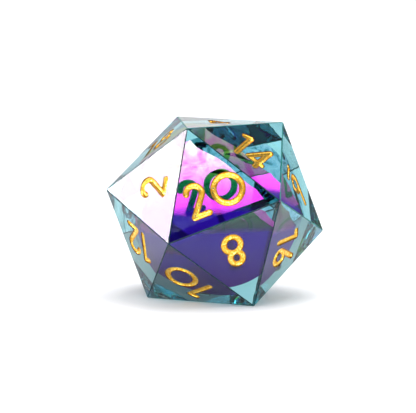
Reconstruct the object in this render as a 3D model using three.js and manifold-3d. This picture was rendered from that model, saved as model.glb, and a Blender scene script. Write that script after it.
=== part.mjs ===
// Twenty-sided polyhedral die: two clear resin pours closed around a disc of colour-shifting film,
// with gold paint lining the engraved numerals. Millimetres, +Z up, the origin on the ground under the
// centre. The die rests on face 17, face 4 is level on top and face 20 looks towards -Y.

import * as THREE from 'three';
import { ConvexGeometry } from 'three/addons/geometries/ConvexGeometry.js';
import { mergeVertices } from 'three/addons/utils/BufferGeometryUtils.js';
import Module from 'manifold-3d';

// ---- Driving dimensions ----
const FACE_TO_FACE = 20;
const EDGE_BREAK = 0.045;
const CAP_HEIGHT = 4.22;
const STROKE_WIDTH = 0.74;
const GROOVE_DEPTH = 0.42;
const PAINT_TOP = -0.03;
const PAINT_MIDDLE = -0.24;
const DIGIT_GAP = 0.48;
const PAIR_SHIFT = 0.26;
const UNDERLINE_DROP = 1.1;
const UNDERLINED_LIFT = 0.85;
const TWENTY_LIFT = -0.42;
const FIT_GAP = 0.02;
const FILM_RADIUS = 7.7;
const FILM_THICKNESS = 0.12;
const FILM_AZIMUTH = -86.1;
const FILM_ELEVATION = 10.1;
const ARC_STEP = 20;
const END_STEPS = 4;

// ---- Corners of the icosahedron, named A to L; each letter's opposite corner is listed below ----
const GOLDEN = (1 + Math.sqrt(5)) / 2;
const INRADIUS_OF_UNIT_EDGE = (GOLDEN * GOLDEN) / (2 * Math.sqrt(3));
const EDGE = FACE_TO_FACE / (2 * INRADIUS_OF_UNIT_EDGE);
const OPPOSITE = { A: 'J', B: 'K', C: 'L', D: 'G', E: 'I', F: 'H', G: 'D', H: 'F', I: 'E' };
const CORNER_PATTERN = {
  A: [0, 1, GOLDEN],
  B: [1, GOLDEN, 0],
  C: [-1, GOLDEN, 0],
  D: [GOLDEN, 0, 1],
  E: [-GOLDEN, 0, 1],
  F: [0, -1, GOLDEN],
  G: [-GOLDEN, 0, -1],
  H: [0, 1, -GOLDEN],
  I: [GOLDEN, 0, -1],
  J: [0, -1, -GOLDEN],
  K: [-1, -GOLDEN, 0],
  L: [1, -GOLDEN, 0],
};

// ---- Ten faces, their numeral's top corner first; the other ten are opposite and add up to 21 ----
const NAMED_FACES = {
  2: 'DAB',
  4: 'FAE',
  6: 'GCE',
  8: 'HBC',
  10: 'IBH',
  12: 'IBD',
  14: 'EAC',
  16: 'GCH',
  18: 'FAD',
  20: 'ABC',
};

const PAINT = new THREE.MeshStandardMaterial({ color: 0xd9a32a, roughness: 0.35, metalness: 1 });
const FRONT_RESIN = new THREE.MeshStandardMaterial({ color: 0xb9a4dd, roughness: 0.05, metalness: 0 });
const BACK_RESIN = new THREE.MeshStandardMaterial({ color: 0x8fc3c9, roughness: 0.05, metalness: 0 });
const FILM = new THREE.MeshStandardMaterial({ color: 0xd060e0, roughness: 0.1, metalness: 1 });

const wasm = await Module();
wasm.setup();

// ---- Solids ----
function toSolid(geometry) {
  const bare = new THREE.BufferGeometry();
  bare.setAttribute('position', geometry.getAttribute('position').clone());
  bare.setIndex(geometry.index);
  const merged = mergeVertices(bare, 1e-4);
  const mesh = new wasm.Mesh({
    numProp: 3,
    vertProperties: merged.attributes.position.array,
    triVerts: new Uint32Array(merged.index.array),
  });
  return new wasm.Manifold(mesh);
}

function toMesh(solid, name, material) {
  const mesh = solid.getMesh();
  const geometry = new THREE.BufferGeometry();
  geometry.setAttribute('position', new THREE.BufferAttribute(new Float32Array(mesh.vertProperties), 3));
  geometry.setIndex(new THREE.BufferAttribute(new Uint32Array(mesh.triVerts), 1));
  geometry.computeVertexNormals();
  const made = new THREE.Mesh(geometry, material);
  made.name = name;
  return made;
}

function union(solids) {
  return solids.reduce((sum, next) => sum.add(next));
}

// ---- Icosahedron in its resting position ----
function patternCorner(letter) {
  return new THREE.Vector3(...CORNER_PATTERN[letter]).multiplyScalar(EDGE / 2);
}

function outwardNormal(corners) {
  return corners[0].clone().add(corners[1]).add(corners[2]).normalize();
}

function restingTurn() {
  const up = outwardNormal(['A', 'E', 'F'].map(patternCorner));
  const numberTwenty = outwardNormal(['A', 'B', 'C'].map(patternCorner));
  const back = up.clone().multiplyScalar(numberTwenty.dot(up)).sub(numberTwenty).normalize();
  const right = back.clone().cross(up);
  return new THREE.Matrix4().makeBasis(right, back, up).transpose();
}

const TURN = restingTurn();
const CENTRE = new THREE.Vector3(0, 0, FACE_TO_FACE / 2);

function corner(letter) {
  return patternCorner(letter).applyMatrix4(TURN).add(CENTRE);
}

function faceList() {
  const faces = [];
  for (const [number, letters] of Object.entries(NAMED_FACES)) {
    const named = [...letters];
    faces.push({ number: Number(number), corners: named.map(corner) });
    faces.push({ number: 21 - number, corners: named.map((letter) => corner(OPPOSITE[letter])) });
  }
  return faces.sort((one, two) => one.number - two.number);
}

function faceMiddle(face) {
  return face.corners[0].clone().add(face.corners[1]).add(face.corners[2]).divideScalar(3);
}

// A face's own frame: x to the reader's right, y towards the numeral's top corner, z out of the face.
function faceFrame(face) {
  const middle = faceMiddle(face);
  const out = middle.clone().sub(CENTRE).normalize();
  const up = face.corners[0].clone().sub(middle).normalize();
  const right = up.clone().cross(out);
  return new THREE.Matrix4().makeBasis(right, up, out).setPosition(middle);
}

// The whole die with a narrow flat along each edge: every face is drawn in a little from its corners.
function wholeDie(faces) {
  const points = [];
  for (const face of faces) {
    const middle = faceMiddle(face);
    for (const point of face.corners) {
      const inward = middle.clone().sub(point).setLength(2 * EDGE_BREAK);
      points.push(point.clone().add(inward));
    }
  }
  return toSolid(new ConvexGeometry(points));
}

// ---- Numeral strokes: paths in units of the height between stroke centrelines, middle at 0,0 ----
function arc(x, y, radiusX, radiusY, from, to) {
  const steps = Math.max(2, Math.ceil(Math.abs(to - from) / ARC_STEP));
  const points = [];
  for (let i = 0; i <= steps; i += 1) {
    const angle = THREE.MathUtils.degToRad(from + ((to - from) * i) / steps);
    points.push([x + radiusX * Math.cos(angle), y + radiusY * Math.sin(angle)]);
  }
  return points;
}

function ring(x, y, radiusX, radiusY) {
  return { closed: true, points: arc(x, y, radiusX, radiusY, 0, 360).slice(0, -1) };
}

function open(points) {
  return { closed: false, points };
}

// The angle on a circle at which a straight line to the point touches it; side is 1 or -1.
function touchAngle(x, y, radius, point, side) {
  const dx = point[0] - x;
  const dy = point[1] - y;
  const towards = Math.atan2(dy, dx);
  const spread = Math.acos(radius / Math.hypot(dx, dy));
  return THREE.MathUtils.radToDeg(towards + side * spread);
}

function halfTurn(stroke) {
  return { closed: stroke.closed, points: stroke.points.map(([x, y]) => [-x, -y]) };
}

function strokesOfTwo() {
  const foot = [-0.25, -0.5];
  const last = touchAngle(0, 0.25, 0.25, foot, 1) - 360;
  const neck = [...arc(0, 0.25, 0.25, 0.25, 168, last > -90 ? last : last + 360), foot];
  return [open(neck), open([foot, [0.25, -0.5]])];
}

function strokesOfSix() {
  const tip = [0.13, 0.5];
  const touch = THREE.MathUtils.degToRad(touchAngle(0, -0.26, 0.24, tip, 1));
  const join = [0.24 * Math.cos(touch), -0.26 + 0.24 * Math.sin(touch)];
  return [ring(0, -0.26, 0.24, 0.24), open([tip, join])];
}

const STROKES = {
  0: [ring(0, 0, 0.46, 0.46)],
  1: [open([[0.11, 0.5], [0.11, -0.5]]), open([[0.11, 0.5], [-0.11, 0.41]])],
  2: strokesOfTwo(),
  3: [open(arc(0, 0.27, 0.23, 0.23, 155, -90)), open(arc(0, -0.23, 0.27, 0.27, 90, -155))],
  4: [
    open([[0.16, 0.5], [0.13, -0.5]]),
    open([[0.16, 0.5], [-0.27, -0.27]]),
    open([[-0.27, -0.27], [0.27, -0.27]]),
  ],
  5: [
    open([[0.2, 0.5], [-0.18, 0.5]]),
    open([[-0.18, 0.5], [-0.22, 0]]),
    open(arc(-0.02, -0.22, 0.28, 0.28, 132, -150)),
  ],
  6: strokesOfSix(),
  7: [open([[-0.25, 0.5], [0.25, 0.5]]), open([[0.25, 0.5], [-0.09, -0.5]])],
  8: [ring(0, 0.28, 0.2, 0.22), ring(0, -0.22, 0.27, 0.28)],
  9: strokesOfSix().map(halfTurn),
};
const UNDERLINE = [open([[-0.25, 0], [0.25, 0]])];

// ---- Groove sections: distance from the centreline and height above the face, top to bottom ----
const HALF_STROKE = STROKE_WIDTH / 2;
const GROOVE_SECTION = [[0, 0.3], [HALF_STROKE, 0.3], ...grooveWall(HALF_STROKE, 0, GROOVE_DEPTH)];
const PAINT_SECTION = [[0, PAINT_TOP], ...grooveWall(HALF_STROKE - FIT_GAP, PAINT_TOP, GROOVE_DEPTH - FIT_GAP)];
const DISH_SECTION = [
  [0, PAINT_TOP + 0.05],
  [0.9 * HALF_STROKE, PAINT_TOP + 0.05],
  [0, PAINT_MIDDLE],
];

function grooveWall(halfWidth, top, depth) {
  return [[halfWidth, top], [0.72 * halfWidth, -0.75 * depth], [0, -depth]];
}

// ---- Sweeping a section along a path, with rounded ends on an open path ----
function pathSides(points, closed) {
  const count = points.length;
  return points.map((point, i) => {
    const before = closed || i > 0 ? points[(i + count - 1) % count] : null;
    const after = closed || i < count - 1 ? points[(i + 1) % count] : null;
    const arriving = before ? point.clone().sub(before).normalize() : after.clone().sub(point).normalize();
    const leaving = after ? after.clone().sub(point).normalize() : arriving;
    const along = arriving.clone().add(leaving).normalize();
    const stretch = 1 / along.dot(leaving);
    return new THREE.Vector2(along.y, -along.x).multiplyScalar(stretch);
  });
}

function sweep(points, closed, section) {
  const positions = [];
  const triangles = [];
  const last = section.length - 1;
  const sides = pathSides(points, closed);

  function addPoint(middle, side, [offset, height]) {
    positions.push(middle.x + side.x * offset, middle.y + side.y * offset, height);
    return positions.length / 3 - 1;
  }

  function addStrip(one, two) {
    for (let j = 0; j + 1 < one.length; j += 1) {
      if (one[j] !== two[j]) triangles.push(one[j], one[j + 1], two[j]);
      if (one[j + 1] !== two[j + 1]) triangles.push(one[j + 1], two[j + 1], two[j]);
    }
  }

  const stations = points.map((point, i) => {
    const top = addPoint(point, sides[i], section[0]);
    const bottom = addPoint(point, sides[i], section[last]);
    const between = section.slice(1, last);
    const left = sides[i].clone().negate();
    return {
      right: [top, ...between.map((spot) => addPoint(point, sides[i], spot)), bottom],
      left: [top, ...between.map((spot) => addPoint(point, left, spot)), bottom],
    };
  });

  function addRoundEnd(point, side, forward, startLine, endLine) {
    let previous = startLine;
    for (let step = 1; step < END_STEPS; step += 1) {
      const angle = (Math.PI * step) / END_STEPS;
      const direction = side.clone().multiplyScalar(Math.cos(angle));
      direction.addScaledVector(forward, Math.sin(angle));
      const between = section.slice(1, last).map((spot) => addPoint(point, direction, spot));
      const line = [startLine[0], ...between, startLine[last]];
      addStrip(previous, line);
      previous = line;
    }
    addStrip(previous, endLine);
  }

  const spans = closed ? points.length : points.length - 1;
  for (let i = 0; i < spans; i += 1) {
    const next = stations[(i + 1) % stations.length];
    addStrip(stations[i].right, next.right);
    addStrip(next.left, stations[i].left);
  }
  if (!closed) {
    const end = points.length - 1;
    const leftOfStart = sides[0].clone().negate();
    const forward = new THREE.Vector2(-sides[end].y, sides[end].x);
    const backward = new THREE.Vector2(sides[0].y, -sides[0].x);
    addRoundEnd(points[end], sides[end], forward, stations[end].right, stations[end].left);
    addRoundEnd(points[0], leftOfStart, backward, stations[0].left, stations[0].right);
  }
  const geometry = new THREE.BufferGeometry();
  geometry.setAttribute('position', new THREE.Float32BufferAttribute(positions, 3));
  geometry.setIndex(triangles);
  return geometry;
}

// ---- Numerals: the digits of one face, laid out side by side in the face's frame ----
const UNIT = CAP_HEIGHT - STROKE_WIDTH;

function reach(strokes) {
  const across = strokes.flatMap((stroke) => stroke.points.map(([x]) => x * UNIT));
  return { from: Math.min(...across) - HALF_STROKE, to: Math.max(...across) + HALF_STROKE };
}

function liftOf(number, underlined) {
  if (underlined) return UNDERLINED_LIFT;
  return number === 20 ? TWENTY_LIFT : 0;
}

function layoutOf(number) {
  const digits = [...String(number)];
  const extents = digits.map((digit) => reach(STROKES[digit]));
  const widths = extents.map((extent) => extent.to - extent.from);
  const total = widths.reduce((sum, width) => sum + width, 0) + DIGIT_GAP * (digits.length - 1);
  const underlined = number === 6 || number === 9;
  const lift = liftOf(number, underlined);
  let start = -total / 2 + (digits.length > 1 ? PAIR_SHIFT : 0);
  const placed = digits.map((digit, i) => {
    const x = start - extents[i].from;
    start += widths[i] + DIGIT_GAP;
    return { label: `digit${i + 1}_${digit}`, strokes: STROKES[digit], x, y: lift };
  });
  if (underlined) {
    placed.push({ label: 'underline', strokes: UNDERLINE, x: 0, y: lift - UNIT / 2 - UNDERLINE_DROP });
  }
  return placed;
}

function sweptMark(mark, section, frame) {
  const swept = mark.strokes.map((stroke) => {
    const points = stroke.points.map(([x, y]) => new THREE.Vector2(mark.x + x * UNIT, mark.y + y * UNIT));
    return toSolid(sweep(points, stroke.closed, section).applyMatrix4(frame));
  });
  return union(swept);
}

// ---- The film disc and the plane the two pours meet in ----
function filmFrame() {
  const azimuth = THREE.MathUtils.degToRad(FILM_AZIMUTH);
  const elevation = THREE.MathUtils.degToRad(FILM_ELEVATION);
  const level = Math.cos(elevation);
  const normal = new THREE.Vector3(level * Math.cos(azimuth), level * Math.sin(azimuth), Math.sin(elevation));
  const turn = new THREE.Quaternion().setFromUnitVectors(new THREE.Vector3(0, 0, 1), normal);
  return new THREE.Matrix4().makeRotationFromQuaternion(turn).setPosition(CENTRE);
}

function discSolid(radius, thickness, frame) {
  const disc = new THREE.CylinderGeometry(radius, radius, thickness, 72);
  disc.rotateX(Math.PI / 2);
  return toSolid(disc.applyMatrix4(frame));
}

// Everything on one side of the film's plane; side is 1 for the front and -1 for the back.
function halfSpace(side, frame) {
  const size = 3 * FACE_TO_FACE;
  const block = new THREE.BoxGeometry(size, size, size);
  block.translate(0, 0, side * (size / 2 + FIT_GAP / 2));
  return toSolid(block.applyMatrix4(frame));
}

// ---- Assembly ----
const die = new THREE.Group();
die.name = 'polyhedral_die';

const faces = faceList();
const film = filmFrame();
const grooves = [];
for (const face of faces) {
  const frame = faceFrame(face);
  const number = String(face.number).padStart(2, '0');
  for (const mark of layoutOf(face.number)) {
    const paint = sweptMark(mark, PAINT_SECTION, frame).subtract(sweptMark(mark, DISH_SECTION, frame));
    grooves.push(sweptMark(mark, GROOVE_SECTION, frame));
    die.add(toMesh(paint, `paint_f${number}_${mark.label}`, PAINT));
  }
}

const pocket = discSolid(FILM_RADIUS + FIT_GAP, FILM_THICKNESS + 2 * FIT_GAP, film);
const resin = wholeDie(faces).subtract(union(grooves)).subtract(pocket);
die.add(toMesh(resin.intersect(halfSpace(1, film)), 'resin_front_pour', FRONT_RESIN));
die.add(toMesh(resin.intersect(halfSpace(-1, film)), 'resin_back_pour', BACK_RESIN));
die.add(toMesh(discSolid(FILM_RADIUS, FILM_THICKNESS, film), 'film_disc', FILM));

export default die;
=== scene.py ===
"""Twenty-sided polyhedral die: clear resin around a coloured film, with gold numerals. Metres, +Z up."""

import math

import bmesh
import bpy
from mathutils import Matrix, Vector


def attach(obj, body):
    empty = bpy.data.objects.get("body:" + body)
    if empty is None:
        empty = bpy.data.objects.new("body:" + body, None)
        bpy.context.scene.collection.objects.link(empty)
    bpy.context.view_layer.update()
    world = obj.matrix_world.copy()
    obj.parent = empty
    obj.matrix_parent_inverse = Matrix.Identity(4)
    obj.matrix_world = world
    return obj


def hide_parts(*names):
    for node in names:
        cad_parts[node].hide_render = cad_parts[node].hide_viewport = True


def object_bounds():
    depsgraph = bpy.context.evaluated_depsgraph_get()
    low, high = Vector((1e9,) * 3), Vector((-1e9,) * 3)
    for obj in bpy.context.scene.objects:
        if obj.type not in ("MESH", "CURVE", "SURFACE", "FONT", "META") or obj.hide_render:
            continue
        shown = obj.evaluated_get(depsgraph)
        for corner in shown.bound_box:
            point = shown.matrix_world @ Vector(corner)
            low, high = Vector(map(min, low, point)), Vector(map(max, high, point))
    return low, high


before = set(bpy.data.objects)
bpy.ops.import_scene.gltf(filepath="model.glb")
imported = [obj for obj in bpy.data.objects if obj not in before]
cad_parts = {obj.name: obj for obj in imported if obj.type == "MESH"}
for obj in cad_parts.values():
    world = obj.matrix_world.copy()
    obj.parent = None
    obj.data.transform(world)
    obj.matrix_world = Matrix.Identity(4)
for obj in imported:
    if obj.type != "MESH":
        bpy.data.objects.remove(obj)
cad_low, cad_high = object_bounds()

MM = 0.001
HEIGHT = cad_high.z - cad_low.z
CENTRE = (cad_low + cad_high) / 2
GOLDEN = (1 + math.sqrt(5)) / 2
EDGE = HEIGHT * math.sqrt(3) / GOLDEN ** 2
EDGE_ROUNDING = 0.08 * MM

# Numeral dimensions
CAP_HEIGHT = 4.22 * MM
STROKE_WIDTH = 0.74 * MM
GROOVE_DEPTH = 0.42 * MM
DIGIT_GAP = 0.48 * MM
PAIR_SHIFT = 0.26 * MM
UNDERLINE_DROP = 1.1 * MM
UNDERLINED_LIFT = 0.85 * MM
TWENTY_LIFT = -0.42 * MM
UNIT = CAP_HEIGHT - STROKE_WIDTH
HALF_STROKE = STROKE_WIDTH / 2
ARC_STEP = 7.5
END_STEPS = 8

# Sections across a stroke: heights are above the face
GROOVE_TOP = 0.3 * MM
GROOVE_FULLNESS = 0.7
PAINT_GAP = 0.012 * MM
PAINT_TOP = -0.02 * MM
PAINT_WALL = 0.05 * MM
DISH_TOP = 0.1 * MM
DISH_RIM = -0.03 * MM
DISH_MIDDLE = -0.24 * MM

# Which polygons of the paint and of the resin get another material: painted shade on the paint's walls,
# underside and top rim, and painted light and shade on the resin's rounded edges
RIM_DEPTH = 0.1 * MM
UPWARD_LIMIT = 0.02
SMOOTH_ANGLE = 40
EDGE_FACING = (0.9, 0.9995)
FRONT_LIMIT = -0.5

OPPOSITE = dict(zip("ABCDEFGHI", "JKLGIHDFE"))
CORNER_PATTERN = {
    "A": (0, 1, GOLDEN),
    "B": (1, GOLDEN, 0),
    "C": (-1, GOLDEN, 0),
    "D": (GOLDEN, 0, 1),
    "E": (-GOLDEN, 0, 1),
    "F": (0, -1, GOLDEN),
    "G": (-GOLDEN, 0, -1),
    "H": (0, 1, -GOLDEN),
    "I": (GOLDEN, 0, -1),
    "J": (0, -1, -GOLDEN),
    "K": (-1, -GOLDEN, 0),
    "L": (1, -GOLDEN, 0),
}
NAMED_FACES = {
    2: "DAB",
    4: "FAE",
    6: "GCE",
    8: "HBC",
    10: "IBH",
    12: "IBD",
    14: "EAC",
    16: "GCH",
    18: "FAD",
    20: "ABC",
}


# ---- Icosahedron ----
def pattern_corner(letter):
    return Vector(CORNER_PATTERN[letter]) * EDGE / 2


def outward(letters):
    return sum((pattern_corner(letter) for letter in letters), Vector()).normalized()


def resting_turn():
    up = outward("AEF")
    twenty = outward("ABC")
    back = (up * twenty.dot(up) - twenty).normalized()
    return Matrix((back.cross(up), back, up))


TURN = resting_turn()


def corner(letter):
    return TURN @ pattern_corner(letter) + CENTRE


def face_table():
    faces = {}
    for number, letters in NAMED_FACES.items():
        faces[number] = [corner(letter) for letter in letters]
        faces[21 - number] = [corner(OPPOSITE[letter]) for letter in letters]
    return faces


def face_frame(corners):
    middle = sum(corners, Vector()) / 3
    out = (middle - CENTRE).normalized()
    up = (corners[0] - middle).normalized()
    right = up.cross(out)
    turn = Matrix((right, up, out)).transposed().to_4x4()
    return Matrix.Translation(middle) @ turn


# ---- Numeral strokes, in units of the height between stroke centrelines ----
def arc(x, y, radius_x, radius_y, start, end):
    steps = max(3, math.ceil(abs(end - start) / ARC_STEP))
    points = []
    for i in range(steps + 1):
        angle = math.radians(start + (end - start) * i / steps)
        points.append((x + radius_x * math.cos(angle), y + radius_y * math.sin(angle)))
    return points


def ring(x, y, radius_x, radius_y):
    return {"closed": True, "points": arc(x, y, radius_x, radius_y, 0, 360)[:-1]}


def line(*points):
    return {"closed": False, "points": list(points)}


def touch_angle(x, y, radius, point):
    dx, dy = point[0] - x, point[1] - y
    return math.degrees(math.atan2(dy, dx) + math.acos(radius / math.hypot(dx, dy)))


def strokes_of_two():
    foot = (-0.25, -0.5)
    last = touch_angle(0, 0.25, 0.25, foot)
    last -= 360 * round(last / 360)
    return [line(*arc(0, 0.25, 0.25, 0.25, 168, last), foot), line(foot, (0.25, -0.5))]


def strokes_of_six():
    tip = (0.13, 0.5)
    touch = math.radians(touch_angle(0, -0.26, 0.24, tip))
    join = (0.24 * math.cos(touch), -0.26 + 0.24 * math.sin(touch))
    return [ring(0, -0.26, 0.24, 0.24), line(tip, join)]


def half_turn(stroke):
    return {"closed": stroke["closed"], "points": [(-x, -y) for x, y in stroke["points"]]}


STROKES = {
    "0": [ring(0, 0, 0.46, 0.46)],
    "1": [line((0.11, 0.5), (0.11, -0.5)), line((0.11, 0.5), (-0.11, 0.41))],
    "2": strokes_of_two(),
    "3": [line(*arc(0, 0.27, 0.23, 0.23, 155, -90)), line(*arc(0, -0.23, 0.27, 0.27, 90, -155))],
    "4": [
        line((0.16, 0.5), (0.13, -0.5)),
        line((0.16, 0.5), (-0.27, -0.27)),
        line((-0.27, -0.27), (0.27, -0.27)),
    ],
    "5": [
        line((0.2, 0.5), (-0.18, 0.5)),
        line((-0.18, 0.5), (-0.22, 0)),
        line(*arc(-0.02, -0.22, 0.28, 0.28, 132, -150)),
    ],
    "6": strokes_of_six(),
    "7": [line((-0.25, 0.5), (0.25, 0.5)), line((0.25, 0.5), (-0.09, -0.5))],
    "8": [ring(0, 0.28, 0.2, 0.22), ring(0, -0.22, 0.27, 0.28)],
    "9": [half_turn(stroke) for stroke in strokes_of_six()],
}
UNDERLINE = [line((-0.25, 0), (0.25, 0))]


def reach(strokes):
    across = [x * UNIT for stroke in strokes for x, _ in stroke["points"]]
    return min(across) - HALF_STROKE, max(across) + HALF_STROKE


def layout_of(number):
    digits = str(number)
    extents = [reach(STROKES[digit]) for digit in digits]
    total = sum(high - low for low, high in extents) + DIGIT_GAP * (len(digits) - 1)
    underlined = number in (6, 9)
    lift = UNDERLINED_LIFT if underlined else TWENTY_LIFT if number == 20 else 0
    start = -total / 2 + (PAIR_SHIFT if len(digits) > 1 else 0)
    marks = []
    for i, (digit, (low, high)) in enumerate(zip(digits, extents)):
        marks.append((f"digit{i + 1}_{digit}", STROKES[digit], start - low, lift))
        start += high - low + DIGIT_GAP
    if underlined:
        marks.append(("underline", UNDERLINE, 0, lift - UNIT / 2 - UNDERLINE_DROP))
    return marks


# ---- Sweeping a section (offset, height) along a path, with rounded ends ----
def path_sides(points, closed):
    count = len(points)
    sides = []
    for i, point in enumerate(points):
        before = points[i - 1] if closed or i > 0 else None
        after = points[(i + 1) % count] if closed or i < count - 1 else None
        arriving = (point - before).normalized() if before else (after - point).normalized()
        leaving = (after - point).normalized() if after else arriving
        along = (arriving + leaving).normalized()
        sides.append(Vector((along.y, -along.x)) / along.dot(leaving))
    return sides


def sweep(bm, points, closed, section, matrix):
    last = len(section) - 1
    sides = path_sides(points, closed)

    def place(middle, side, spot):
        flat = middle + side * spot[0]
        return bm.verts.new(matrix @ Vector((flat.x, flat.y, spot[1])))

    def strip(one, two):
        for j in range(last):
            quad = [one[j], one[j + 1], two[j + 1], two[j]]
            unique = [v for k, v in enumerate(quad) if v not in quad[:k]]
            bm.faces.new(unique)

    def line_at(middle, side, top, bottom):
        return [top, *(place(middle, side, spot) for spot in section[1:last]), bottom]

    stations = []
    for point, side in zip(points, sides):
        top = place(point, side, section[0])
        bottom = place(point, side, section[last])
        right = line_at(point, side, top, bottom)
        left = line_at(point, -side, top, bottom)
        stations.append((right, left))

    def round_end(point, side, forward, start_line, end_line):
        previous = start_line
        for step in range(1, END_STEPS):
            angle = math.pi * step / END_STEPS
            direction = side * math.cos(angle) + forward * math.sin(angle)
            current = line_at(point, direction, start_line[0], start_line[last])
            strip(previous, current)
            previous = current
        strip(previous, end_line)

    spans = len(points) if closed else len(points) - 1
    for i in range(spans):
        following = stations[(i + 1) % len(stations)]
        strip(stations[i][0], following[0])
        strip(following[1], stations[i][1])
    if not closed:
        ahead = Vector((-sides[-1].y, sides[-1].x))
        behind = Vector((sides[0].y, -sides[0].x))
        round_end(points[-1], sides[-1], ahead, *stations[-1])
        round_end(points[0], -sides[0], behind, stations[0][1], stations[0][0])


# ---- Objects ----
def link(name, mesh):
    obj = bpy.data.objects.new(name, mesh)
    bpy.context.scene.collection.objects.link(obj)
    return obj


def dress(obj, material):
    obj.data.materials.clear()
    obj.data.materials.append(material)
    obj.data.polygons.foreach_set("material_index", [0] * len(obj.data.polygons))


def object_from(bm, name):
    bmesh.ops.recalc_face_normals(bm, faces=bm.faces)
    mesh = bpy.data.meshes.new(name)
    bm.to_mesh(mesh)
    bm.free()
    return link(name, mesh)


def combine(target, tool, operation):
    modifier = target.modifiers.new("cut", "BOOLEAN")
    modifier.object = tool
    modifier.operation = operation
    modifier.solver = "MANIFOLD"
    graph = bpy.context.evaluated_depsgraph_get()
    graph.update()
    result = bpy.data.meshes.new_from_object(target.evaluated_get(graph))
    target.modifiers.clear()
    old = target.data
    target.data = result
    bpy.data.meshes.remove(old)
    mesh = tool.data
    bpy.data.objects.remove(tool)
    bpy.data.meshes.remove(mesh)


def mark_solid(name, mark, section, matrix):
    whole = None
    for stroke in mark[1]:
        bm = bmesh.new()
        points = [Vector((mark[2] + x * UNIT, mark[3] + y * UNIT)) for x, y in stroke["points"]]
        sweep(bm, points, stroke["closed"], section, matrix)
        piece = object_from(bm, name)
        if whole:
            combine(whole, piece, "UNION")
        else:
            whole = piece
    return whole


def groove_section(half, top, depth, steps=6):
    section = [(0, top), (half, top)]
    if top > 0:
        section.append((half, 0))
        top = 0
    for i in range(1, steps):
        angle = math.pi / 2 * i / steps
        across = half * math.cos(angle) ** GROOVE_FULLNESS
        section.append((across, top - (depth + top) * math.sin(angle)))
    section.append((0, -depth))
    return section


def dish_section(half, rim, middle, steps=5):
    section = [(0, DISH_TOP), (half, DISH_TOP), (half, rim)]
    for i in range(1, steps):
        angle = math.pi / 2 * i / steps
        section.append((half * math.cos(angle), rim - (rim - middle) * math.sin(angle)))
    section.append((0, middle))
    return section


def die_body(faces):
    bm = bmesh.new()
    verts = {letter: bm.verts.new(corner(letter)) for letter in CORNER_PATTERN}
    for letters in NAMED_FACES.values():
        bm.faces.new([verts[letter] for letter in letters])
        bm.faces.new([verts[OPPOSITE[letter]] for letter in letters])
    bmesh.ops.recalc_face_normals(bm, faces=bm.faces)
    bmesh.ops.bevel(
        bm, geom=list(bm.edges), offset=EDGE_ROUNDING, segments=3, profile=0.5, affect="EDGES"
    )
    return object_from(bm, "resin_body")


GROOVE = groove_section(HALF_STROKE, GROOVE_TOP, GROOVE_DEPTH)
PAINT = groove_section(HALF_STROKE - PAINT_GAP, PAINT_TOP, GROOVE_DEPTH - PAINT_GAP)
DISH = dish_section(HALF_STROKE - PAINT_WALL, DISH_RIM, DISH_MIDDLE)


# ---- The film's place and its cuts, x to the right and y up ----
FILM_AZIMUTH = -86.1
FILM_ELEVATION = 10.1
FILM_RADIUS = 7.7 * MM
OUTLINE_STEPS = 240
CUTS = [(54, 4.25 * MM), (38.6, 4.9 * MM), (184, 6.3 * MM)]
CUT_RIPPLE = 0.2 * MM
RIPPLES_PER_TURN = 6.4
SAME_POINT = 0.0001 * MM
# A flat crescent of painted shade on the film, standing in for a dark crescent seen by refraction
SHADE_CRESCENT_START = (-0.6 * MM, 3.5 * MM)
SHADE_CRESCENT_END = (2.9 * MM, 2.9 * MM)
SHADE_CRESCENT_ABOVE = 0.56 * MM
SHADE_CRESCENT_BELOW = 0.035 * MM
SHADE_CRESCENT_SKEW = 0.8
SHADE_CRESCENT_DEPTH = 0.01 * MM
CARRIER_SLOT = 1
SHADE_CRESCENT_SLOT = 2


def film_frame():
    azimuth, elevation = math.radians(FILM_AZIMUTH), math.radians(FILM_ELEVATION)
    level = math.cos(elevation)
    normal = Vector((level * math.cos(azimuth), level * math.sin(azimuth), math.sin(elevation)))
    right = Vector((0, 0, 1)).cross(normal).normalized()
    turn = Matrix((right, normal.cross(right), normal)).transposed()
    return Matrix.Translation(CENTRE) @ turn.to_4x4()


def direction(angle):
    return Vector((math.cos(math.radians(angle)), math.sin(math.radians(angle))))


# ---- Materials ----
RESIN_DENSITY = 100.0
RESIN_TINT = (0.09, 0.66, 0.70)
# Opaque painted colours for the rounded edges: painted shade on those facing the front, painted teal
# light on the others
FRONT_EDGE_PAINTED_SHADE = ((0.002, 0.012, 0.015), (0.008, 0.04, 0.045))
SIDE_EDGE_PAINTED_LIGHT = ((0.01, 0.09, 0.085), (0.04, 0.30, 0.26))


def new_material(name):
    material = bpy.data.materials.new(name)
    material.use_nodes = True
    tree = material.node_tree
    tree.nodes.clear()
    output = tree.nodes.new("ShaderNodeOutputMaterial")
    return material, tree, output


def add_node(tree, kind, **inputs):
    made = tree.nodes.new(kind)
    for key, value in inputs.items():
        made.inputs[key.replace("_", " ")].default_value = value
    return made


def noise_node(tree, scale, detail=3.0, roughness=0.55, distortion=0.0):
    coordinates = tree.nodes.new("ShaderNodeTexCoord")
    texture = add_node(tree, "ShaderNodeTexNoise", Scale=scale, Detail=detail, Roughness=roughness)
    texture.inputs["Distortion"].default_value = distortion
    tree.links.new(coordinates.outputs["Object"], texture.inputs["Vector"])
    return texture


def ramp_node(tree, source, stops):
    made = tree.nodes.new("ShaderNodeValToRGB")
    elements = made.color_ramp.elements
    while len(elements) < len(stops):
        elements.new(0.5)
    for element, (position, colour) in zip(elements, stops):
        element.position = position
        element.color = (*colour, 1)
    tree.links.new(source, made.inputs["Fac"])
    return made


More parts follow.
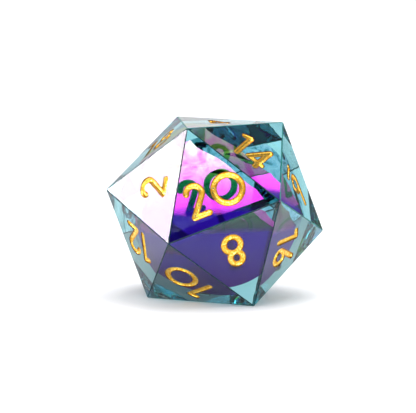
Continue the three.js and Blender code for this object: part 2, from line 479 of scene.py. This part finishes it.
def gold_material():
    material, tree, output = new_material("gold_paint")
    shader = add_node(tree, "ShaderNodeBsdfPrincipled", Metallic=1.0)
    grain = noise_node(tree, 5200, 4, 0.65)
    colour = ramp_node(
        tree,
        grain.outputs["Fac"],
        [(0.32, (0.62, 0.24, 0.01)), (0.48, (0.93, 0.50, 0.04)), (0.62, (1.0, 0.80, 0.22))],
    )
    tree.links.new(colour.outputs["Color"], shader.inputs["Base Color"])
    rough = ramp_node(tree, grain.outputs["Fac"], [(0.3, (0.38,) * 3), (0.7, (0.20,) * 3)])
    tree.links.new(rough.outputs["Color"], shader.inputs["Roughness"])
    bump = add_node(tree, "ShaderNodeBump", Strength=0.6, Distance=0.00003)
    tree.links.new(grain.outputs["Fac"], bump.inputs["Height"])
    tree.links.new(bump.outputs["Normal"], shader.inputs["Normal"])
    tree.links.new(shader.outputs["BSDF"], output.inputs["Surface"])
    return material


# Painted shade: a darker copy of the gold for the paint's top rim, where the groove walls shade it
def gold_rim_material():
    material, tree, output = new_material("gold_rim_painted_shade")
    shader = add_node(tree, "ShaderNodeBsdfPrincipled", Metallic=1.0, Roughness=0.45)
    grain = noise_node(tree, 7000, 3)
    colour = ramp_node(
        tree, grain.outputs["Fac"], [(0.35, (0.14, 0.045, 0.004)), (0.65, (0.48, 0.20, 0.015))]
    )
    tree.links.new(colour.outputs["Color"], shader.inputs["Base Color"])
    tree.links.new(shader.outputs["BSDF"], output.inputs["Surface"])
    return material


# Painted shade: a near-black copy of the gold paint for its walls and underside, seen through the resin
def paint_back_material():
    material, tree, output = new_material("paint_underside_shade")
    shader = add_node(tree, "ShaderNodeBsdfPrincipled", Roughness=0.6)
    shader.inputs["Specular IOR Level"].default_value = 0.2
    grain = noise_node(tree, 3000, 3)
    colour = ramp_node(
        tree, grain.outputs["Fac"], [(0.35, (0.010, 0.009, 0.004)), (0.65, (0.035, 0.028, 0.010))]
    )
    tree.links.new(colour.outputs["Color"], shader.inputs["Base Color"])
    tree.links.new(shader.outputs["BSDF"], output.inputs["Surface"])
    return material


def resin_material():
    material, tree, output = new_material("clear_resin")
    shader = add_node(tree, "ShaderNodeBsdfPrincipled", Roughness=0.015, IOR=1.52)
    shader.inputs["Transmission Weight"].default_value = 1.0
    cloud = noise_node(tree, 120, 2)
    colour = ramp_node(
        tree, cloud.outputs["Fac"], [(0.3, (0.97, 0.985, 1.0)), (0.7, (1.0, 0.985, 0.995))]
    )
    tree.links.new(colour.outputs["Color"], shader.inputs["Base Color"])
    tree.links.new(shader.outputs["BSDF"], output.inputs["Surface"])
    wave = noise_node(tree, 160, 2, 0.5, 1.5)
    bump = add_node(tree, "ShaderNodeBump", Strength=0.6, Distance=0.00004)
    tree.links.new(wave.outputs["Fac"], bump.inputs["Height"])
    tree.links.new(bump.outputs["Normal"], shader.inputs["Normal"])
    tint = add_node(tree, "ShaderNodeVolumeAbsorption", Density=RESIN_DENSITY)
    tint.inputs["Color"].default_value = (*RESIN_TINT, 1)
    tree.links.new(tint.outputs["Volume"], output.inputs["Volume"])
    return material


def edge_material(name, dark, light):
    """The rounded edges in painted colour, darker where they face the front: painted shade there and
    painted teal light on the others.
    """
    material, tree, output = new_material(name)
    shader = add_node(tree, "ShaderNodeBsdfPrincipled", Roughness=0.3, IOR=1.52)
    cloud = noise_node(tree, 600, 3)
    colour = ramp_node(tree, cloud.outputs["Fac"], [(0.35, dark), (0.65, light)])
    shader.inputs["Specular IOR Level"].default_value = 0.15
    tree.links.new(colour.outputs["Color"], shader.inputs["Base Color"])
    tree.links.new(shader.outputs["BSDF"], output.inputs["Surface"])
    return material


def math_node(tree, operation, *values):
    made = tree.nodes.new("ShaderNodeMath")
    made.operation = operation
    for socket, value in zip(made.inputs, values):
        if isinstance(value, (int, float)):
            socket.default_value = value
        else:
            tree.links.new(value, socket)
    return made.outputs["Value"]


def film_height(tree):
    """Millimetres up the film from its centre."""
    coordinates = tree.nodes.new("ShaderNodeTexCoord")
    up = film_frame().to_3x3().col[1] / MM
    dot = tree.nodes.new("ShaderNodeVectorMath")
    dot.operation = "DOT_PRODUCT"
    tree.links.new(coordinates.outputs["Object"], dot.inputs[0])
    dot.inputs[1].default_value = up
    return math_node(tree, "SUBTRACT", dot.outputs["Value"], CENTRE.dot(up))


def mix_colour(tree, amount, first, second):
    made = tree.nodes.new("ShaderNodeMix")
    made.data_type = "RGBA"
    for socket, value in ((made.inputs[0], amount), (made.inputs[6], first), (made.inputs[7], second)):
        if isinstance(value, tuple):
            socket.default_value = (*value, 1)
        else:
            tree.links.new(value, socket)
    return made.outputs[2]


# Stops over height on the film, in mm from its centre
FILM_REACH = 8.0
COATING_UNEVENNESS = 1.6
THROUGH_COLOURS = [
    (-8.0, (0.15, 0.0, 0.28)),
    (-4.0, (0.14, 0.01, 0.50)),
    (-2.0, (0.14, 0.01, 0.62)),
    (-1.0, (0.14, 0.01, 0.62)),
    (-0.2, (0.01, 0.12, 0.10)),
    (2.6, (0.02, 0.40, 0.10)),
    (3.6, (0.30, 0.55, 0.05)),
    (4.6, (0.90, 0.80, 0.03)),
    (8.0, (0.75, 0.72, 0.60)),
]
MIRROR_STRENGTHS = [
    (-8.0, (0.02,) * 3),
    (-1.3, (0.02,) * 3),
    (-0.4, (1.0,) * 3),
    (8.0, (1.0,) * 3),
]
PALE_STRENGTHS = [(1.5, (0, 0, 0)), (6.5, (1, 1, 1))]
MIRROR_NONE = (0.01, 0.01, 0.01)
MIRROR_DEEP = (1.0, 0.02, 0.33)
MIRROR_LIGHT = (0.85, 0.36, 0.31)


def film_ramp(tree, height, stops):
    """A colour ramp whose stops are heights on the film, from -FILM_REACH to FILM_REACH."""
    share = math_node(tree, "MULTIPLY_ADD", height, 0.5 / FILM_REACH, 0.5)
    placed = [(0.5 + 0.5 * level / FILM_REACH, colour) for level, colour in stops]
    return ramp_node(tree, share, placed).outputs["Color"]


def film_material():
    """A mirroring film whose colours are fixed on it and change with height."""
    material, tree, output = new_material("colour_shift_film")
    cloud = noise_node(tree, 230, 3, 0.5, 1.2)
    uneven = math_node(
        tree, "MULTIPLY_ADD", cloud.outputs["Fac"], COATING_UNEVENNESS, -COATING_UNEVENNESS / 2
    )
    height = math_node(tree, "ADD", film_height(tree), uneven)
    through = film_ramp(tree, height, THROUGH_COLOURS)
    streaks = noise_node(tree, 500, 3, 0.6, 2.0)
    haze = ramp_node(tree, streaks.outputs["Fac"], [(0.35, (0.15,) * 3), (0.62, (1, 1, 1))])
    upward = film_ramp(tree, height, PALE_STRENGTHS)
    pale = math_node(tree, "MULTIPLY", upward, haze.outputs["Color"])
    tone = mix_colour(tree, pale, MIRROR_DEEP, MIRROR_LIGHT)
    reflect = mix_colour(tree, film_ramp(tree, height, MIRROR_STRENGTHS), MIRROR_NONE, tone)
    mirror = add_node(tree, "ShaderNodeBsdfGlossy", Roughness=0.02)
    clear = tree.nodes.new("ShaderNodeBsdfTransparent")
    frosted = tree.nodes.new("ShaderNodeBsdfTranslucent")
    passing = add_node(tree, "ShaderNodeMixShader", Fac=0.5)
    both = tree.nodes.new("ShaderNodeAddShader")
    ripple = noise_node(tree, 260, 2)
    bump = add_node(tree, "ShaderNodeBump", Strength=0.5, Distance=0.00002)
    tree.links.new(ripple.outputs["Fac"], bump.inputs["Height"])
    tree.links.new(bump.outputs["Normal"], mirror.inputs["Normal"])
    tree.links.new(reflect, mirror.inputs["Color"])
    tree.links.new(through, clear.inputs["Color"])
    tree.links.new(through, frosted.inputs["Color"])
    tree.links.new(clear.outputs["BSDF"], passing.inputs[1])
    tree.links.new(frosted.outputs["BSDF"], passing.inputs[2])
    tree.links.new(mirror.outputs["BSDF"], both.inputs[0])
    tree.links.new(passing.outputs["Shader"], both.inputs[1])
    tree.links.new(both.outputs["Shader"], output.inputs["Surface"])
    return material


def carrier_material():
    """The film where it has no coating: clear, greyed and streaked."""
    material, tree, output = new_material("film_carrier")
    streaks = noise_node(tree, 420, 4, 0.6, 2.5)
    colour = ramp_node(
        tree,
        streaks.outputs["Fac"],
        [(0.36, (0.16, 0.34, 0.38)), (0.47, (0.50, 0.66, 0.80)), (0.62, (0.85, 0.84, 0.95))],
    )
    clear = tree.nodes.new("ShaderNodeBsdfTransparent")
    tree.links.new(colour.outputs["Color"], clear.inputs["Color"])
    tree.links.new(clear.outputs["BSDF"], output.inputs["Surface"])
    return material


# Painted shade: a near-black sheet on the film where there is only refracted shade
def fold_material():
    material, tree, output = new_material("film_shade_crescent")
    streaks = noise_node(tree, 900, 3)
    colour = ramp_node(
        tree, streaks.outputs["Fac"], [(0.4, (0.01, 0.02, 0.01)), (0.65, (0.05, 0.10, 0.03))]
    )
    clear = tree.nodes.new("ShaderNodeBsdfTransparent")
    tree.links.new(colour.outputs["Color"], clear.inputs["Color"])
    tree.links.new(clear.outputs["BSDF"], output.inputs["Surface"])
    return material


# How strongly the floor glows as painted light, by distance in metres from a point under the die; the
# weak glow close to that point is a painted shadow
PAINTED_SHADOW_CENTRE = (-2.5 * MM, 0, 0)
FLOOR_PAINTED_GLOW = [(0.009, 0.10), (0.016, 0.44), (0.12, 0.50), (0.5, 0.72)]
FLOOR_DROP = 0.02 * MM
FLOOR_REACH = 1.5


def floor_material():
    """A pale table that gives off painted light, weakly under the die as a painted shadow and more with
    distance.
    """
    material, tree, output = new_material("pale_floor_painted_glow")
    shader = add_node(tree, "ShaderNodeBsdfPrincipled", Roughness=0.6)
    cloud = noise_node(tree, 6, 2)
    colour = ramp_node(
        tree, cloud.outputs["Fac"], [(0.3, (0.83, 0.84, 0.86)), (0.7, (0.86, 0.87, 0.88))]
    )
    tree.links.new(colour.outputs["Color"], shader.inputs["Base Color"])
    coordinates = tree.nodes.new("ShaderNodeTexCoord")
    length = tree.nodes.new("ShaderNodeVectorMath")
    length.operation = "DISTANCE"
    length.inputs[1].default_value = PAINTED_SHADOW_CENTRE
    tree.links.new(coordinates.outputs["Object"], length.inputs[0])
    glow = ramp_node(
        tree,
        length.outputs["Value"],
        [(distance, (strength,) * 3) for distance, strength in FLOOR_PAINTED_GLOW],
    )
    tree.links.new(glow.outputs["Color"], shader.inputs["Emission Color"])
    shader.inputs["Emission Strength"].default_value = 1.0
    tree.links.new(shader.outputs["BSDF"], output.inputs["Surface"])
    return material


# ---- Film: a carrier disc whose coating stops at straight cuts, x to the right and y up ----
def coated_edge(rim, angle):
    point = rim.copy()
    for cut_angle, distance in CUTS:
        across = direction(cut_angle)
        ripple = CUT_RIPPLE * math.sin(math.radians((angle - cut_angle) * RIPPLES_PER_TURN))
        point -= across * max(0, point.dot(across) - distance - ripple)
    return point


def fold_outline(steps=16):
    """A crescent of painted shade across the upper part of the film, standing in for a dark crescent
    seen by refraction.
    """
    start, end = Vector(SHADE_CRESCENT_START), Vector(SHADE_CRESCENT_END)
    side = Vector((start.y - end.y, end.x - start.x)).normalized()
    upper = []
    lower = []
    for i in range(steps + 1):
        share = i / steps
        swell = math.sin(math.pi * share ** SHADE_CRESCENT_SKEW)
        middle = start.lerp(end, share)
        upper.append(middle + side * SHADE_CRESCENT_ABOVE * swell)
        lower.append(middle + side * SHADE_CRESCENT_BELOW * swell)
    return upper + lower[-2:0:-1]


def film_sheet():
    bm = bmesh.new()
    place = film_frame()

    def vertex(point, lift=0.0):
        return bm.verts.new(place @ Vector((point.x, point.y, lift)))

    rims = []
    edges = []
    for i in range(OUTLINE_STEPS):
        angle = 360 * i / OUTLINE_STEPS
        rim = direction(angle) * FILM_RADIUS
        edge = coated_edge(rim, angle)
        edges.append(vertex(edge))
        rims.append(vertex(rim) if (rim - edge).length > SAME_POINT else edges[-1])
    bm.faces.new(edges)
    for i in range(OUTLINE_STEPS):
        quad = [rims[i - 1], rims[i], edges[i], edges[i - 1]]
        unique = [v for k, v in enumerate(quad) if v not in quad[:k]]
        if len(unique) > 2:
            bm.faces.new(unique).material_index = CARRIER_SLOT
    shade_crescent = bm.faces.new([vertex(point, -SHADE_CRESCENT_DEPTH) for point in fold_outline()])
    shade_crescent.material_index = SHADE_CRESCENT_SLOT
    return object_from(bm, "film_sheet")


# ---- Stage ----
def add_floor():
    bm = bmesh.new()
    bmesh.ops.create_grid(bm, x_segments=8, y_segments=8, size=FLOOR_REACH)
    floor = object_from(bm, "floor")
    floor.location = (0, 0, -FLOOR_DROP)
    dress(floor, floor_material())


def add_light(name, azimuth, elevation, distance, width, height, power, colour=(1, 1, 1)):
    a, e = math.radians(azimuth), math.radians(elevation)
    place = Vector((math.sin(a) * math.cos(e), -math.cos(a) * math.cos(e), math.sin(e))) * distance
    data = bpy.data.lights.new(name, "AREA")
    data.shape = "RECTANGLE"
    data.size, data.size_y = width, height
    data.energy = power
    data.color = colour
    light = link(name, data)
    light.location = CENTRE + place
    light.rotation_mode = "QUATERNION"
    light.rotation_quaternion = (-place).to_track_quat("-Z", "Y")
    return light


DARK_CARDS = [
    ((0.512, 0.852, 0.105), 0.93, 0.98, (0.22, 0.27, 0.26)),
    ((-0.512, 0.852, 0.105), 0.93, 0.98, (0.24, 0.24, 0.30)),
    ((0.0, -0.82, 0.572), 0.93, 0.972, (0.15, 0.15, 0.17)),
]


def add_world():
    """A pale horizon that darkens towards the ceiling, with dark cards behind and high in front."""
    world = bpy.data.worlds.new("studio")
    world.use_nodes = True
    tree = world.node_tree
    background = tree.nodes["Background"]
    coordinates = tree.nodes.new("ShaderNodeTexCoord")
    split = tree.nodes.new("ShaderNodeSeparateXYZ")
    tree.links.new(coordinates.outputs["Generated"], split.inputs["Vector"])
    sky = ramp_node(
        tree,
        split.outputs["Z"],
        [(0.0, (1, 1, 1)), (0.3, (1, 1, 1)), (0.5, (0.12, 0.12, 0.14)), (1.0, (0.3, 0.3, 0.33))],
    )
    light = sky.outputs["Color"]
    for direction_of_card, outer, inner, shade in DARK_CARDS:
        towards_card = tree.nodes.new("ShaderNodeVectorMath")
        towards_card.operation = "DOT_PRODUCT"
        tree.links.new(coordinates.outputs["Generated"], towards_card.inputs[0])
        towards_card.inputs[1].default_value = direction_of_card
        card = ramp_node(
            tree, towards_card.outputs["Value"], [(outer, (1, 1, 1)), (inner, shade)]
        )
        shaded = tree.nodes.new("ShaderNodeMix")
        shaded.data_type = "RGBA"
        shaded.blend_type = "MULTIPLY"
        shaded.inputs[0].default_value = 1.0
        tree.links.new(light, shaded.inputs[6])
        tree.links.new(card.outputs["Color"], shaded.inputs[7])
        light = shaded.outputs[2]
    tree.links.new(light, background.inputs["Color"])
    bpy.context.scene.world = world


# The camera's place is in edges from the die's centre, and the aim's shifts are in edges too
LENS = 284.8
SENSOR_WIDTH = 36
CAMERA_PLACE = (1.10623, -27.88965, 3.60235)
CAMERA_UP = (-0.01333, 0.12651, 0.99188)
AIM_LEFT = 0.0608
AIM_UP = 0.0301


def add_camera():
    data = bpy.data.cameras.new("camera")
    data.sensor_width = SENSOR_WIDTH
    data.lens = LENS
    data.clip_start, data.clip_end = 0.01, 10
    camera = link("camera", data)
    place = CENTRE + Vector(CAMERA_PLACE) * EDGE
    up = Vector(CAMERA_UP)
    ahead = (CENTRE - place).normalized()
    right = ahead.cross(up).normalized()
    up = right.cross(ahead)
    target = CENTRE - right * AIM_LEFT * EDGE + up * AIM_UP * EDGE
    ahead = (target - place).normalized()
    right = ahead.cross(up).normalized()
    up = right.cross(ahead)
    turn = Matrix((right, up, -ahead)).transposed()
    camera.matrix_world = Matrix.Translation(place) @ turn.to_4x4()
    bpy.context.scene.camera = camera


# ---- Assembly ----
faces = face_table()
body = die_body(faces)
gold = gold_material()
gold_rim_painted_shade = gold_rim_material()
paint_back_shade = paint_back_material()
face_normals = [(sum(c, Vector()) / 3 - CENTRE).normalized() for c in faces.values()]
for number in sorted(faces):
    matrix = face_frame(faces[number])
    for mark in layout_of(number):
        groove = mark_solid("groove", mark, GROOVE, matrix)
        paint = mark_solid(f"gold_{number:02d}_{mark[0]}", mark, PAINT, matrix)
        combine(paint, mark_solid("dish", mark, DISH, matrix), "DIFFERENCE")
        combine(body, groove, "DIFFERENCE")
        dress(paint, gold)
        paint.data.materials.append(paint_back_shade)
        paint.data.materials.append(gold_rim_painted_shade)
        face_normal = matrix.to_3x3().col[2]
        for polygon in paint.data.polygons:
            polygon.use_smooth = True
            depth = (matrix.translation - polygon.center).dot(face_normal)
            # Walls and underside of the paint get near-black painted shade, and its top rim a darker
            # gold painted shade
            if polygon.normal.dot(face_normal) < UPWARD_LIMIT:
                polygon.material_index = 1
            elif depth < RIM_DEPTH:
                polygon.material_index = 2
        paint.data.set_sharp_from_angle(angle=math.radians(SMOOTH_ANGLE))
        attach(paint, "root")
        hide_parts(f"paint_f{number:02d}_{mark[0]}")

dress(body, resin_material())
body.data.materials.append(edge_material("front_edges_painted_shade", *FRONT_EDGE_PAINTED_SHADE))
body.data.materials.append(edge_material("side_edges_painted_light", *SIDE_EDGE_PAINTED_LIGHT))
# The rounded edges get painted shade where they face the front and painted teal light elsewhere
for polygon in body.data.polygons:
    centre = polygon.center - CENTRE
    facing = max(outward_normal.dot(polygon.normal) for outward_normal in face_normals)
    reach_out = max(outward_normal.dot(centre) for outward_normal in face_normals)
    if EDGE_FACING[0] < facing < EDGE_FACING[1] and reach_out > HEIGHT / 2 - EDGE_ROUNDING:
        polygon.material_index = 1 if polygon.normal.y < FRONT_LIMIT else 2
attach(body, "root")
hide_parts("resin_front_pour", "resin_back_pour")

film = film_sheet()
regions = [polygon.material_index for polygon in film.data.polygons]
dress(film, film_material())
film.data.materials.append(carrier_material())
film.data.materials.append(fold_material())
film.data.polygons.foreach_set("material_index", regions)
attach(film, "root")
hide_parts("film_disc")

add_floor()
add_world()
add_light("left_softbox", -95, 19, 0.35, 0.07, 0.07, 0.265, (1.0, 0.88, 0.94))
add_light("overhead_softbox", 90, 84, 0.6, 0.4, 0.4, 1.8)
add_light("front_softbox", 0, 5, 0.6, 0.5, 0.28, 2.6)
add_light("top_softbox", -15, 58, 0.4, 0.2, 0.2, 0.65)
add_camera()

scene = bpy.context.scene
scene.view_settings.view_transform = "Standard"
scene.cycles.max_bounces = 24
scene.cycles.glossy_bounces = 16
scene.cycles.transmission_bounces = 20
scene.cycles.transparent_max_bounces = 24
